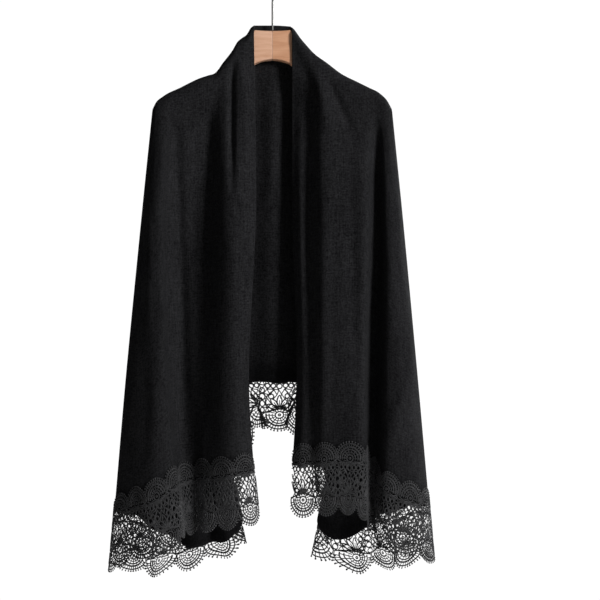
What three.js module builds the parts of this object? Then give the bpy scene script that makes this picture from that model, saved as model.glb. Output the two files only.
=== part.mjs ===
// A lace shawl hung open on a wooden hanger. Millimetres, +Z up, the front faces -Y.
// The origin is the inside of the hook's top, where it hangs on a rail.
import * as THREE from "three";

// Driving dimensions
const CLOTH = 2; // wall of the knit panel
const LACE = 1.5; // wall of the lace
const SEAM = 0.3; // gap between pieces that touch
const LACE_LIFT = 0.4; // gap between the cloth's face and the lace on it
const LACE_FREE = 78; // lace below the cloth's edge on the fronts, at the notch between two scallops
const SCALLOP = 14; // depth of the lower scallops
const LACE_ON = 12; // lace on the cloth, at the notch
const LACE_ARCH = 28; // height of the upper scallops
const EASE = 6; // slack between the arm's sides and the cloth, away from the neck
const ROLL_GAP = 1.2; // gap over the arm
const NECK_GAP = 5; // the seam gap widens this much where the ridge turns behind the neck
const LEVEL = { breast: -450, hip: -760, knee: -1000 }; // heights at which the folds are set out
const LOW_HEM = -850; // a hem below this takes its length from the knee too
const KNEE_SHARE = 0.7;
const REPEAT_WIDTH = 54; // of the lace's pattern, laid flat
const REPEATS = { front: 8, back: 20 }; // lace repeats in each stretch
const SIDE_STEPS = [1 / 3, 2 / 3]; // places of the points between two repeats, down the free lace
const GAP_RIM = 8; // least lace below a gap
const HEM_BAND = { most: 6, share: 0.4 }; // depth of the free lace's first row, and its share of a short lace
const SCALLOP_STEPS = [0.83, 0.66, 0.5, 0.34, 0.17]; // points of a lower scallop, across a repeat
const CELLS = 3; // cloth columns to a lace repeat
const OVER_ARM = [0, 3, 8, 16, 28]; // depths of the first rows, which roll over the hanger's arm
const FALL_ROWS = 8; // rows from there to the lace
const HEM_LEAN = 0.6; // share of the hem's slope that the free lace turns with
const HEM_LEAN_MOST = 0.9; // radians
const WOOD = {
  top: -107, rise: 1.5, middle: 33, shoulder: 1.05, // upper edge at the middle, and its slopes outwards
  halfDepth: 10, tipDepth: 14.5, // half thickness at the middle and at the tips
  forward: 26, reach: 213, // the tips bend forward, and how far out they are
  rest: 0.9, bridge: 3, // gap under the cloth, and its most where the cloth bridges a bend
};
const WIRE = { radius: 1.8, bend: 22 };
const COLLAR = { half: 34, y: 13.5 }; // the collar stands behind the hanger's middle

// Height of the shawl's ridge along each arm, from the neck to the arm's tip
const RIDGE = {
  left: [
    { x: 34, z: -97 }, { x: 41, z: -102 }, { x: 47, z: -112 }, { x: 57, z: -120 },
    { x: 66, z: -129 }, { x: 72, z: -140 }, { x: 91, z: -166 }, { x: 105, z: -185 },
    { x: 118, z: -190 }, { x: 132, z: -195 }, { x: 169, z: -214 }, { x: 200, z: -231 },
    { x: 213, z: -243 }, { x: 220, z: -257 },
  ],
  right: [
    { x: 34, z: -98 }, { x: 41, z: -105 }, { x: 47, z: -113 }, { x: 53, z: -121 },
    { x: 61, z: -131 }, { x: 75, z: -147 }, { x: 101, z: -167 }, { x: 125, z: -186 },
    { x: 158, z: -204 }, { x: 177, z: -214 }, { x: 198, z: -226 }, { x: 211, z: -240 },
    { x: 220, z: -257 },
  ],
};

// The folds, in order round the shawl from the left front edge by the back to the right front edge.
// x0 is the place on the ridge, x1 y1 at breast height, x2 y2 at the hip, x3 y3 at the knee, and
// hem the height of the cloth's lower edge there. side is -1 in front of the arm, 1 behind it.
// free, where given, is the lace below the edge there: it is sewn higher up where the cloth hangs lower.
const FOLDS = [
  { fold: "left edge", side: -1, x0: -34, x1: -30, y1: -24, x2: -42, y2: -34, x3: -26, y3: -38, hem: -919 },
  { fold: "left roll", side: -1, x0: -46, x1: -42, y1: -36, x2: -52, y2: -48, x3: -37, y3: -50, hem: -920 },
  { fold: "left ridge", side: -1, x0: -70, x1: -67, y1: -44, x2: -65, y2: -58, x3: -58, y3: -60, hem: -922 },
  { fold: "left hollow", side: -1, x0: -101, x1: -104, y1: -30, x2: -102, y2: -46, x3: -97, y3: -52, hem: -930 },
  { fold: "left flank", side: -1, x0: -128, x1: -127, y1: -24, x2: -125, y2: -36, x3: -122, y3: -44, hem: -934 },
  { fold: "left valley", side: -1, x0: -156, x1: -156, y1: -12, x2: -152, y2: -14, x3: -144, y3: -22, hem: -938 },
  { fold: "left crest back", side: -1, x0: -180, x1: -189, y1: -20, x2: -173, y2: -24, x3: -154, y3: -32, hem: -942 },
  { fold: "left crest", side: -1, x0: -187, x1: -198, y1: -50, x2: -180, y2: -66, x3: -158, y3: -76, hem: -945 },
  { fold: "left outer", side: -1, x0: -199, x1: -214, y1: -52, x2: -208, y2: -72, x3: -197, y3: -84, hem: -966 },
  { fold: "left shoulder", side: -1, x0: -212, x1: -230, y1: -38, x2: -242, y2: -54, x3: -250, y3: -64, hem: -984 },
  { fold: "left side", side: 0, x0: -219, x1: -241, y1: -10, x2: -271, y2: -14, x3: -291, y3: -16, hem: -991, free: 88 },
  { fold: "back 1", side: 1, x0: -214, x1: -233, y1: 16, x2: -263, y2: 22, x3: -284, y3: 24, hem: -1003, free: 88 },
  { fold: "back 2", side: 1, x0: -202, x1: -214, y1: 40, x2: -240, y2: 56, x3: -256, y3: 66, hem: -1014, free: 86 },
  { fold: "back 3", side: 1, x0: -187, x1: -193, y1: 26, x2: -213, y2: 32, x3: -222, y3: 36, hem: -1036, free: 72 },
  { fold: "back 4", side: 1, x0: -170, x1: -173, y1: 46, x2: -188, y2: 64, x3: -190, y3: 76, hem: -1055, free: 50 },
  { fold: "back 5", side: 1, x0: -153, x1: -155, y1: 28, x2: -166, y2: 36, x3: -158, y3: 42, hem: -1070, free: 24 },
  { fold: "back 6", side: 1, x0: -136, x1: -138, y1: 44, x2: -146, y2: 58, x3: -122, y3: 70, hem: -1064, free: 14 },
  { fold: "back 7", side: 1, x0: -119, x1: -122, y1: 28, x2: -127, y2: 34, x3: -90, y3: 42, hem: -1054, free: 10 },
  { fold: "back 8", side: 1, x0: -102, x1: -107, y1: 38, x2: -112, y2: 47, x3: -62, y3: 54, hem: -1016, free: 18 },
  { fold: "back 9", side: 1, x0: -86, x1: -91, y1: 29, x2: -98, y2: 48, x3: -78, y3: 74, hem: -950, free: 50 },
  { fold: "back 10", side: 1, x0: -70, x1: -74, y1: 38, x2: -82, y2: 62, x3: -62, y3: 92, hem: -872, free: 72 },
  { fold: "back 11", side: 1, x0: -54, x1: -57, y1: 29, x2: -63, y2: 50, x3: -38, y3: 80, hem: -800, free: 78 },
  { fold: "back 12", side: 1, x0: -32, x1: -34, y1: 36, x2: -39, y2: 46, x3: -20, y3: 62, hem: -759, free: 78 },
  { fold: "centre back", side: 1, x0: 0, x1: 0, y1: 24, x2: 0, y2: 30, x3: 4, y3: 40, hem: -758, free: 78 },
  { fold: "back 13", side: 1, x0: 32, x1: 34, y1: 35, x2: 40, y2: 45, x3: 26, y3: 62, hem: -759, free: 78 },
  { fold: "back 14", side: 1, x0: 54, x1: 57, y1: 28, x2: 68, y2: 48, x3: 48, y3: 78, hem: -790, free: 78 },
  { fold: "back 15", side: 1, x0: 72, x1: 78, y1: 39, x2: 96, y2: 58, x3: 76, y3: 86, hem: -856, free: 72 },
  { fold: "back 16", side: 1, x0: 90, x1: 101, y1: 30, x2: 122, y2: 50, x3: 108, y3: 72, hem: -940, free: 50 },
  { fold: "back 17", side: 1, x0: 108, x1: 118, y1: 38, x2: 135, y2: 43, x3: 94, y3: 48, hem: -1016, free: 24 },
  { fold: "back 18", side: 1, x0: 124, x1: 134, y1: 28, x2: 148, y2: 34, x3: 112, y3: 44, hem: -1046, free: 24 },
  { fold: "back 19", side: 1, x0: 140, x1: 150, y1: 44, x2: 162, y2: 58, x3: 142, y3: 66, hem: -1057, free: 42 },
  { fold: "back 20", side: 1, x0: 156, x1: 166, y1: 28, x2: 180, y2: 36, x3: 172, y3: 40, hem: -1034, free: 66 },
  { fold: "back 21", side: 1, x0: 172, x1: 182, y1: 46, x2: 198, y2: 62, x3: 200, y3: 74, hem: -1014, free: 84 },
  { fold: "back 22", side: 1, x0: 187, x1: 199, y1: 26, x2: 220, y2: 34, x3: 228, y3: 38, hem: -1002, free: 92 },
  { fold: "back 23", side: 1, x0: 201, x1: 214, y1: 40, x2: 241, y2: 54, x3: 256, y3: 62, hem: -994, free: 90 },
  { fold: "back 24", side: 1, x0: 212, x1: 229, y1: 14, x2: 260, y2: 20, x3: 280, y3: 20, hem: -988, free: 86 },
  { fold: "right side", side: 0, x0: 219, x1: 240, y1: -8, x2: 269, y2: -12, x3: 290, y3: -16, hem: -982, free: 84 },
  { fold: "right outer", side: -1, x0: 210, x1: 226, y1: -34, x2: 244, y2: -52, x3: 258, y3: -66, hem: -974 },
  { fold: "right rise", side: -1, x0: 200, x1: 207, y1: -34, x2: 208, y2: -50, x3: 203, y3: -60, hem: -953 },
  { fold: "right valley", side: -1, x0: 190, x1: 196, y1: -14, x2: 190, y2: -18, x3: 187, y3: -26, hem: -936 },
  { fold: "right crest back", side: -1, x0: 178, x1: 186, y1: -20, x2: 178, y2: -26, x3: 179, y3: -34, hem: -920 },
  { fold: "right crest", side: -1, x0: 172, x1: 180, y1: -50, x2: 171, y2: -66, x3: 174, y3: -76, hem: -902 },
  { fold: "right panel", side: -1, x0: 126, x1: 134, y1: -46, x2: 125, y2: -62, x3: 128, y3: -70, hem: -898 },
  { fold: "right rise in", side: -1, x0: 88, x1: 89, y1: -40, x2: 92, y2: -54, x3: 92, y3: -58, hem: -902 },
  { fold: "right hollow", side: -1, x0: 71, x1: 70, y1: -22, x2: 75, y2: -40, x3: 73, y3: -50, hem: -904 },
  { fold: "right roll", side: -1, x0: 52, x1: 52, y1: -40, x2: 56, y2: -48, x3: 51, y3: -50, hem: -906 },
  { fold: "right edge", side: -1, x0: 36, x1: 37, y1: -24, x2: 44, y2: -34, x3: 31, y3: -38, hem: -907 },
];
const LEFT_SIDE = FOLDS.findIndex((f) => f.fold === "left side");
const RIGHT_SIDE = FOLDS.findIndex((f) => f.fold === "right side");

// Creases that run down from the neck: from x, z to xEnd, zEnd, pressed in by deep over a width wide
const CREASES = [
  { x: -64, z: -130, xEnd: -48, zEnd: -345, wide: 7, deep: 9 },
  { x: -98, z: -176, xEnd: -106, zEnd: -420, wide: 14, deep: 9 },
  { x: 62, z: -150, xEnd: 74, zEnd: -430, wide: 12, deep: 6 },
  { x: 66, z: -146, xEnd: 128, zEnd: -270, wide: 7, deep: 5 },
];

// Gaps of one lace repeat: u across it, down below the cloth's edge, half sizes across and down,
// lean in radians, and the number of sides
const GAPS = [
  { u: 0.5, down: 22, across: 4.5, tall: 12, lean: 0, sides: 6 },
  { u: 0.27, down: 33, across: 5, tall: 14, lean: 0.45, sides: 6 },
  { u: 0.73, down: 33, across: 5, tall: 14, lean: -0.45, sides: 6 },
  { u: 0.09, down: 14, across: 3.4, tall: 6, lean: 0, sides: 4 },
  { u: 0.91, down: 14, across: 3.4, tall: 6, lean: 0, sides: 4 },
  { u: 0.12, down: 57, across: 4, tall: 6.5, lean: 0, sides: 5 },
  { u: 0.88, down: 57, across: 4, tall: 6.5, lean: 0, sides: 5 },
  { u: 0.5, down: 50, across: 4, tall: 6, lean: 0, sides: 5 },
];

const clamp = (v, low, high) => Math.min(Math.max(v, low), high);
const mix = (a, b, t) => a + (b - a) * t;

// A smooth curve through the points (ts, vs): cubic pieces whose slope at a point is the weighted
// mean of the slopes on its two sides. Past the ends it runs on straight.
function through(ts, vs, t) {
  const n = ts.length;
  let i = 0;
  while (i < n - 2 && t > ts[i + 1]) i++;
  const chord = (k) => (vs[k + 1] - vs[k]) / (ts[k + 1] - ts[k]);
  const slope = (k) => {
    if (k === 0) return chord(0);
    if (k === n - 1) return chord(n - 2);
    const before = ts[k] - ts[k - 1];
    const after = ts[k + 1] - ts[k];
    return (chord(k - 1) * after + chord(k) * before) / (before + after);
  };
  if (t <= ts[0]) return vs[0] + slope(0) * (t - ts[0]);
  if (t >= ts[n - 1]) return vs[n - 1] + slope(n - 1) * (t - ts[n - 1]);
  const h = ts[i + 1] - ts[i];
  const s = (t - ts[i]) / h;
  const s2 = s * s;
  const s3 = s2 * s;
  return (
    vs[i] * (2 * s3 - 3 * s2 + 1) +
    slope(i) * h * (s3 - 2 * s2 + s) +
    vs[i + 1] * (3 * s2 - 2 * s3) +
    slope(i + 1) * h * (s3 - s2)
  );
}

const ridgeTable = {};
for (const side of ["left", "right"])
  ridgeTable[side] = { xs: RIDGE[side].map((p) => p.x), zs: RIDGE[side].map((p) => p.z) };

// Height of the shawl's ridge over x
function ridgeZ(x) {
  const table = ridgeTable[x < 0 ? "left" : "right"];
  const out = Math.abs(x);
  return out <= table.xs[0] ? mix(-98, table.zs[0], (out / table.xs[0]) ** 2) : through(table.xs, table.zs, out);
}

// The arms bend forward towards their tips
const armY = (x) => -WOOD.forward * clamp((Math.abs(x) - 30) / (WOOD.reach - 30), 0, 1.1) ** 1.5;

// Half the arm's thickness at x
const armHalf = (x) => mix(WOOD.halfDepth, WOOD.tipDepth, clamp((Math.abs(x) - 34) / 130, 0, 1));

// The ridge leaves the arm near the neck and goes behind the hanger's middle as the collar
const ridgeY = (x) => mix(COLLAR.y, armY(x), THREE.MathUtils.smoothstep(Math.abs(x), COLLAR.half, 64));

// How far the cloth stands from the ridge's line once it has rolled over the arm; the tip is round
function roll(x) {
  const tip = clamp((Math.abs(x) - 186) / (220 - 186), 0, 1);
  const ease = EASE * clamp((Math.abs(x) - 34) / 40, 0, 1);
  return (armHalf(x) + CLOTH + ROLL_GAP + ease) * Math.sqrt(1 - tip * tip);
}

// Each fold's own line down the shawl
const lines = FOLDS.map((f) => {
  const top = ridgeZ(f.x0);
  const behindNeck = f.side > 0 && Math.abs(f.x0) < 60;
  const start = behindNeck ? COLLAR.y : armY(f.x0) + f.side * roll(f.x0);
  return {
    zs: [-top, -LEVEL.breast, -LEVEL.hip, -LEVEL.knee],
    xs: [f.x0, f.x1, f.x2, f.x3],
    ys: [f.side > 0 ? Math.max(start, 2) : start, f.y1, f.y2, f.y3],
    top,
    hem: f.hem,
  };
});

// Place of each fold along the hem: the distance from fold to fold, part hip and part knee
const along = [0];
for (let k = 1; k < FOLDS.length; k++) {
  const [p, q] = [FOLDS[k - 1], FOLDS[k]];
  const hip = Math.hypot(q.x2 - p.x2, q.y2 - p.y2);
  const knee = Math.hypot(q.x3 - p.x3, q.y3 - p.y3);
  const low = Math.min(p.hem, q.hem) < LOW_HEM;
  along.push(along[k - 1] + (low ? mix(hip, knee, KNEE_SHARE) : hip));
}
const hems = lines.map((l) => l.hem);
const tops = FOLDS.map((f) => f.x0);
const hemZ = (a) => through(along, hems, a);
const frees = FOLDS.map((f) => f.free ?? LACE_FREE);
const freeAt = (a) => through(along, frees, a);

// The four folds round place a, for a curve through them
function near(a) {
  let i = 0;
  while (i < along.length - 2 && a > along[i + 1]) i++;
  const first = clamp(i - 1, 0, along.length - 4);
  return [first, first + 1, first + 2, first + 3];
}

// A point of the shawl's outer face: a along the hem, z the height
function shawl(a, z) {
  const four = near(a);
  const places = four.map((k) => along[k]);
  const x0 = through(places, four.map((k) => tops[k]), a);
  const top = ridgeZ(x0);
  const share = z > LEVEL.breast ? clamp((top - z) / (top - LEVEL.breast), 0, 1) : 1;
  const height = (k) => (z > LEVEL.breast ? mix(lines[k].top, LEVEL.breast, share) : z);
  const x = through(places, four.map((k) => through(lines[k].zs, lines[k].xs, -height(k))), a);
  let y = through(places, four.map((k) => through(lines[k].zs, lines[k].ys, -height(k))), a);
  if (a < along[LEFT_SIDE] || a > along[RIGHT_SIDE])
    for (const c of CREASES) {
      const t = clamp((z - c.z) / (c.zEnd - c.z), 0, 1);
      const off = (x - mix(c.x, c.xEnd, t)) / c.wide;
      y += c.deep * Math.exp(-off * off) * Math.sin(Math.PI * t) ** 0.8;
    }
  const drop = clamp((top - z) / (1.1 * roll(x0) + 3), 0, 1);
  const rolled = Math.sqrt(1 - (1 - drop) ** 2);
  return new THREE.Vector3(x, mix(ridgeY(x0), y, rolled), Math.min(z, top));
}

// The way out of the cloth at a point
function outward(a, z, top) {
  if (top) return new THREE.Vector3(0, 0, 1);
  const step = 1.5;
  const across = shawl(a + step, z).sub(shawl(a - step, z));
  const up = shawl(a, z + step).sub(shawl(a, z - step));
  return up.cross(across).normalize();
}

// The direction that the free lace hangs in, in the sheet: [along, down]
function hang(a) {
  const reach = 45;
  const slope = (hemZ(a + reach) - hemZ(a - reach)) / (2 * reach);
  const lean = clamp(HEM_LEAN * Math.atan(slope), -HEM_LEAN_MOST, HEM_LEAN_MOST);
  return [Math.sin(lean), Math.cos(lean)];
}

// Places of the cloth's columns: even along the real hem, with a column moved onto each crest
function columns(from, to, repeats) {
  const fine = 400;
  const length = [0];
  const at = (i) => from + ((to - from) * i) / fine;
  for (let i = 1; i <= fine; i++)
    length.push(length[i - 1] + shawl(at(i), hemZ(at(i))).distanceTo(shawl(at(i - 1), hemZ(at(i - 1)))));
  const cells = repeats * CELLS;
  const places = [];
  for (let c = 0, i = 0; c <= cells; c++) {
    const goal = (length[fine] * c) / cells;
    while (i < fine && length[i] < goal) i++;
    places.push(c === cells ? to : at(i));
  }
  for (const f of along) {
    let best = 1;
    places.forEach((p, k) => {
      if (k > 0 && k < cells && Math.abs(p - f) < Math.abs(places[best] - f)) best = k;
    });
    if (Math.abs(places[best] - f) < 5) places[best] = f;
  }
  return places;
}

// Heights of a column's points, from the ridge to the hem; the last but one is the lace's upper edge
function heights(a, column) {
  const four = near(a);
  const top = ridgeZ(through(four.map((k) => along[k]), four.map((k) => tops[k]), a));
  const hem = hemZ(a);
  const rise = Math.sin((Math.PI * (column % CELLS)) / CELLS);
  const laceTop = hem + LACE_ON + LACE_FREE - freeAt(a) + LACE_ARCH * rise;
  const start = top - OVER_ARM.at(-1);
  const list = OVER_ARM.map((d) => top - d);
  for (let r = 1; r <= FALL_ROWS; r++) list.push(mix(start, laceTop, r / FALL_ROWS));
  list.push(hem);
  return list;
}

// A closed wall from a sheet's points: outer and inner are the two faces' points, tris the triangles
// of the outer face, and each open edge of the sheet gets a strip from face to face.
function wall(outer, inner, tris) {
  const n = outer.length;
  const index = [];
  const edges = new Map();
  for (const [a, b, c] of tris) {
    index.push(a, b, c, n + a, n + c, n + b);
    for (const [p, q] of [[a, b], [b, c], [c, a]]) {
      const back = q + "," + p;
      if (edges.has(back)) edges.delete(back);
      else edges.set(p + "," + q, [p, q]);
    }
  }
  for (const [p, q] of edges.values()) index.push(q, p, n + p, q, n + p, n + q);
  const position = new Float32Array(6 * n);
  [...outer, ...inner].forEach((v, i) => v.toArray(position, 3 * i));
  const g = new THREE.BufferGeometry();
  g.setAttribute("position", new THREE.BufferAttribute(position, 3));
  g.setIndex(index);
  return g;
}

// A grid's triangles, facing out, for points stored column by column
function gridTriangles(cols, rows, first = 0) {
  const tris = [];
  for (let c = 0; c < cols - 1; c++)
    for (let r = 0; r < rows - 1; r++) {
      const p = first + c * rows + r;
      const q = p + rows;
      tris.push([p, q, p + 1], [q, q + 1, p + 1]);
    }
  return tris;
}

// One stretch of the knit panel
function clothStretch(places, ridgeShift) {
  const outer = [];
  const inner = [];
  let rows = 0;
  places.forEach((a, column) => {
    const list = heights(a, column);
    rows = list.length;
    list.forEach((z, r) => {
      const p = shawl(a, z);
      const out = outward(a, z, r === 0);
      if (r === 0) p.y += ridgeShift * (1 + NECK_GAP * Math.exp(-(((Math.abs(p.x) - 46) / 22) ** 2)));
      outer.push(p);
      inner.push(p.clone().addScaledVector(out, -CLOTH));
    });
  });
  return wall(outer, inner, gridTriangles(places.length, rows));
}

// One stretch of the lace: its upper part is the cloth's own points moved out, and its lower part
// hangs free below the hem, with the gaps cut through
function laceStretch(places) {
  const outer = [];
  const inner = [];
  const add = (a, z) => {
    const p = shawl(a, z);
    const out = outward(a, z, false);
    inner.push(p.clone().addScaledVector(out, LACE_LIFT));
    outer.push(p.clone().addScaledVector(out, LACE_LIFT + LACE));
    return outer.length - 1;
  };
  const hung = (a, down) => {
    const [s, c] = hang(a);
    return [a + down * s, hemZ(a) - down * c];
  };
  const band = (a) => Math.min(HEM_BAND.most, HEM_BAND.share * freeAt(a));
  places.forEach((a, column) => {
    const list = heights(a, column);
    add(a, list.at(-2));
    add(a, list.at(-1));
    add(...hung(a, band(a)));
  });
  const tris = gridTriangles(places.length, 3);
  const repeats = (places.length - 1) / CELLS;
  const between = (a) => SIDE_STEPS.map((share) => share * freeAt(a));
  let left = between(places[0]).map((down) => add(...hung(places[0], down)));
  let corner = add(...hung(places[0], freeAt(places[0])));
  for (let r = 0; r < repeats; r++) {
    const first = r * CELLS;
    const place = (u) => {
      const at = clamp(u, 0, 1) * CELLS;
      const k = Math.min(Math.floor(at), CELLS - 1);
      return mix(places[first + k], places[first + k + 1], at - k);
    };
    const width = places[first + CELLS] - places[first];
    const right = between(place(1)).map((down) => add(...hung(place(1), down)));
    const nextCorner = add(...hung(place(1), freeAt(place(1))));
    const lowest = (u) => freeAt(place(u)) + SCALLOP * Math.sin(Math.PI * u);
    const ids = [];
    const flat = [];
    const put = (u, down, id) => {
      ids.push(id);
      flat.push(new THREE.Vector2(u * width, -down));
    };
    for (let c = 0; c <= CELLS; c++) put(c / CELLS, band(places[first + c]), 3 * (first + c) + 2);
    between(place(1)).forEach((down, k) => put(1, down, right[k]));
    put(1, freeAt(place(1)), nextCorner);
    for (const u of SCALLOP_STEPS) put(u, lowest(u), add(...hung(place(u), lowest(u))));
    put(0, freeAt(place(0)), corner);
    const downLeft = between(place(0));
    [...SIDE_STEPS.keys()].reverse().forEach((k) => put(0, downLeft[k], left[k]));
    const clear = GAPS.filter((gap) => gap.down + gap.tall + GAP_RIM < lowest(gap.u));
    const holes = clear.map((gap) => {
      const ring = [];
      for (let k = 0; k < gap.sides; k++) {
        const turn = (2 * Math.PI * k) / gap.sides;
        const [dx, dy] = [gap.across * Math.sin(turn), gap.tall * Math.cos(turn)];
        const x = dx * Math.cos(gap.lean) - dy * Math.sin(gap.lean);
        const y = dx * Math.sin(gap.lean) + dy * Math.cos(gap.lean);
        const u = gap.u + x / REPEAT_WIDTH;
        const down = gap.down - y;
        ids.push(add(...hung(place(u), down)));
        ring.push(new THREE.Vector2(u * width, -down));
      }
      return ring;
    });
    // ids runs in the order of the outline's points, then each gap's
    const points = [...flat, ...holes.flat()];
    for (const t of THREE.ShapeUtils.triangulateShape(flat, holes)) {
      const [p, q, s] = t.map((k) => points[k]);
      const turn = (q.x - p.x) * (s.y - p.y) - (q.y - p.y) * (s.x - p.x);
      const [a, b, c] = t.map((k) => ids[k]);
      tris.push(turn < 0 ? [a, b, c] : [a, c, b]);
    }
    left = right;
    corner = nextCorner;
  }
  return wall(outer, inner, tris);
}

// A closed tube of rings, each ring a list of points in the same order, with a fan at both ends
function ringSolid(rings) {
  const m = rings[0].length;
  const position = [];
  const index = [];
  rings.flat().forEach((p) => position.push(p.x, p.y, p.z));
  for (let i = 0; i < rings.length - 1; i++)
    for (let k = 0; k < m; k++) {
      const [a, b] = [i * m + k, i * m + ((k + 1) % m)];
      index.push(a, b, a + m, b, b + m, a + m);
    }
  const end = (rings.length - 1) * m;
  for (let k = 1; k < m - 1; k++) index.push(0, k + 1, k, end, end + k, end + k + 1);
  const g = new THREE.BufferGeometry();
  g.setAttribute("position", new THREE.Float32BufferAttribute(position, 3));
  g.setIndex(index);
  return g;
}

// The wooden arm's upper edge: nearly level at the middle, a shoulder, then just under the cloth.
// The cloth bridges the bend at the foot of the neck, so the wood lies a little lower there.
function woodTop(x) {
  const out = Math.abs(x);
  const bridge = WOOD.bridge * Math.exp(-(((out - 100) / 28) ** 2));
  const slope = (ridgeZ(x + 1) - ridgeZ(x - 1)) / 2;
  const under = ridgeZ(x) - (CLOTH + WOOD.rest) * Math.hypot(1, slope) - bridge;
  const middle = WOOD.top + WOOD.rise * (Math.min(out, WOOD.middle) / WOOD.middle) ** 2;
  return out < WOOD.middle ? middle : Math.min(under, middle - WOOD.shoulder * Math.min(out - WOOD.middle, 30));
}

// The arm's height: deep at the middle, slim at the tip
const woodTall = (x) => {
  const out = Math.abs(x);
  return out < 34 ? mix(54, 64, (out / 34) ** 2) : through([34, 80, 120, 213], [64, 40, 28, 20], out);
};

// One wooden arm: rounded sections from the mitre to the tip; its middle is open to the other arm's
function arm(sign) {
  const stations = [SEAM / 2, 12, 24, 33, 38, 45, 53, 62, 74, 90, 110, 132, 152, 172, 188, 200, 208, 212, 214.5];
  const rings = stations.map((out) => {
    const x = sign * out;
    const tip = clamp((out - 190) / 28, 0, 1);
    const slim = Math.sqrt(1 - tip * tip);
    const half = armHalf(x) * slim;
    const top = woodTop(x) - 2 * tip;
    const bottom = top - woodTall(x) * mix(0.55, 1, slim);
    const ring = [];
    const sides = 16;
    const round = Math.min(1.4 * half, (top - bottom) / 2);
    for (let k = 0; k < sides; k++) {
      const turn = (2 * Math.PI * (k + 0.5)) / sides;
      const [c, s] = [Math.cos(turn), Math.sin(turn)];
      const z = s > 0 ? top - round + round * s : bottom + 0.6 * round + 0.6 * round * s;
      ring.push(new THREE.Vector3(x, armY(x) + sign * half * c, z));
    }
    return ring;
  });
  return ringSolid(rings);
}

// The wire hook: a straight stem, a short bend, then most of a circle
function hook() {
  const middle = WIRE.radius - WIRE.bend;
  const path = [];
  const stemTop = -54;
  for (const z of [WOOD.top + SEAM, -90, -70]) path.push([0, z]);
  const angle0 = -1.05;
  const bendEnd = [WIRE.bend * Math.cos(angle0), middle + WIRE.bend * Math.sin(angle0)];
  const curve = new THREE.CubicBezierCurve(
    new THREE.Vector2(0, stemTop),
    new THREE.Vector2(0, stemTop + 8),
    new THREE.Vector2(bendEnd[0] - 7, bendEnd[1] - 4),
    new THREE.Vector2(...bendEnd),
  );
  for (let i = 0; i < 6; i++) path.push(curve.getPoint(i / 6).toArray());
  for (let i = 0; i <= 20; i++) {
    const turn = mix(angle0, 3.5, i / 20);
    path.push([WIRE.bend * Math.cos(turn), middle + WIRE.bend * Math.sin(turn)]);
  }
  const rings = path.map(([x, z], i) => {
    const before = path[Math.max(i - 1, 0)];
    const after = path[Math.min(i + 1, path.length - 1)];
    const way = new THREE.Vector2(after[0] - before[0], after[1] - before[1]).normalize();
    const ring = [];
    for (let k = 0; k < 10; k++) {
      const turn = (2 * Math.PI * k) / 10;
      const side = WIRE.radius * Math.cos(turn);
      ring.push(new THREE.Vector3(x + side * way.y, -WIRE.radius * Math.sin(turn), z - side * way.x));
    }
    return ring.reverse();
  });
  return ringSolid(rings);
}

const knit = new THREE.MeshStandardMaterial({ color: 0x111112, roughness: 0.95, metalness: 0 });
const guipure = new THREE.MeshStandardMaterial({ color: 0x0c0c0d, roughness: 0.7, metalness: 0 });
const wood = new THREE.MeshStandardMaterial({ color: 0xc4966f, roughness: 0.5, metalness: 0 });
const steel = new THREE.MeshStandardMaterial({ color: 0x9a9a98, roughness: 0.3, metalness: 1 });

const shawlOnHanger = new THREE.Group();
function piece(name, geometry, material) {
  const mesh = new THREE.Mesh(geometry, material);
  mesh.name = name;
  shawlOnHanger.add(mesh);
}

const parting = SEAM / 2;
const end = along.at(-1);
const stretches = [
  { name: "front_left", from: 0, to: along[LEFT_SIDE] - parting, repeats: REPEATS.front, shift: -parting },
  {
    name: "back",
    from: along[LEFT_SIDE] + parting,
    to: along[RIGHT_SIDE] - parting,
    repeats: REPEATS.back,
    shift: parting,
  },
  { name: "front_right", from: along[RIGHT_SIDE] + parting, to: end, repeats: REPEATS.front, shift: -parting },
];
for (const s of stretches) {
  const places = columns(s.from, s.to, s.repeats);
  piece("shawl_" + s.name, clothStretch(places, s.shift), knit);
  piece("lace_" + s.name, laceStretch(places), guipure);
}
piece("hanger_arm_left", arm(-1), wood);
piece("hanger_arm_right", arm(1), wood);
piece("hanger_hook", hook(), steel);

export default shawlOnHanger;
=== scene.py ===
# A black lace shawl hung open on a wooden hanger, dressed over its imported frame.
from collections import namedtuple
from math import pi, radians

import bpy
import numpy as np
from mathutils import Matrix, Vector


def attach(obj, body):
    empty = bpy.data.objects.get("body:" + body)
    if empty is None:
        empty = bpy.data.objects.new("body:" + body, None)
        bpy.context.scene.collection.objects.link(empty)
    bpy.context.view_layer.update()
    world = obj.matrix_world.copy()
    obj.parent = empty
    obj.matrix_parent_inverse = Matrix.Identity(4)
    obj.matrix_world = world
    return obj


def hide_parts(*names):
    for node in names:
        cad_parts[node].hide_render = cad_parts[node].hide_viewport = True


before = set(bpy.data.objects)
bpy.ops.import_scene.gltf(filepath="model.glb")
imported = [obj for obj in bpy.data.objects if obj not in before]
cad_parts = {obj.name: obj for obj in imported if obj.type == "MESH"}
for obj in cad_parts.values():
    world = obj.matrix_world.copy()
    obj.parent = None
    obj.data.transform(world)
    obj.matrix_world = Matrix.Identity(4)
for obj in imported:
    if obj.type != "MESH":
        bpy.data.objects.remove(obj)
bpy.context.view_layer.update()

MM = 0.001

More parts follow.
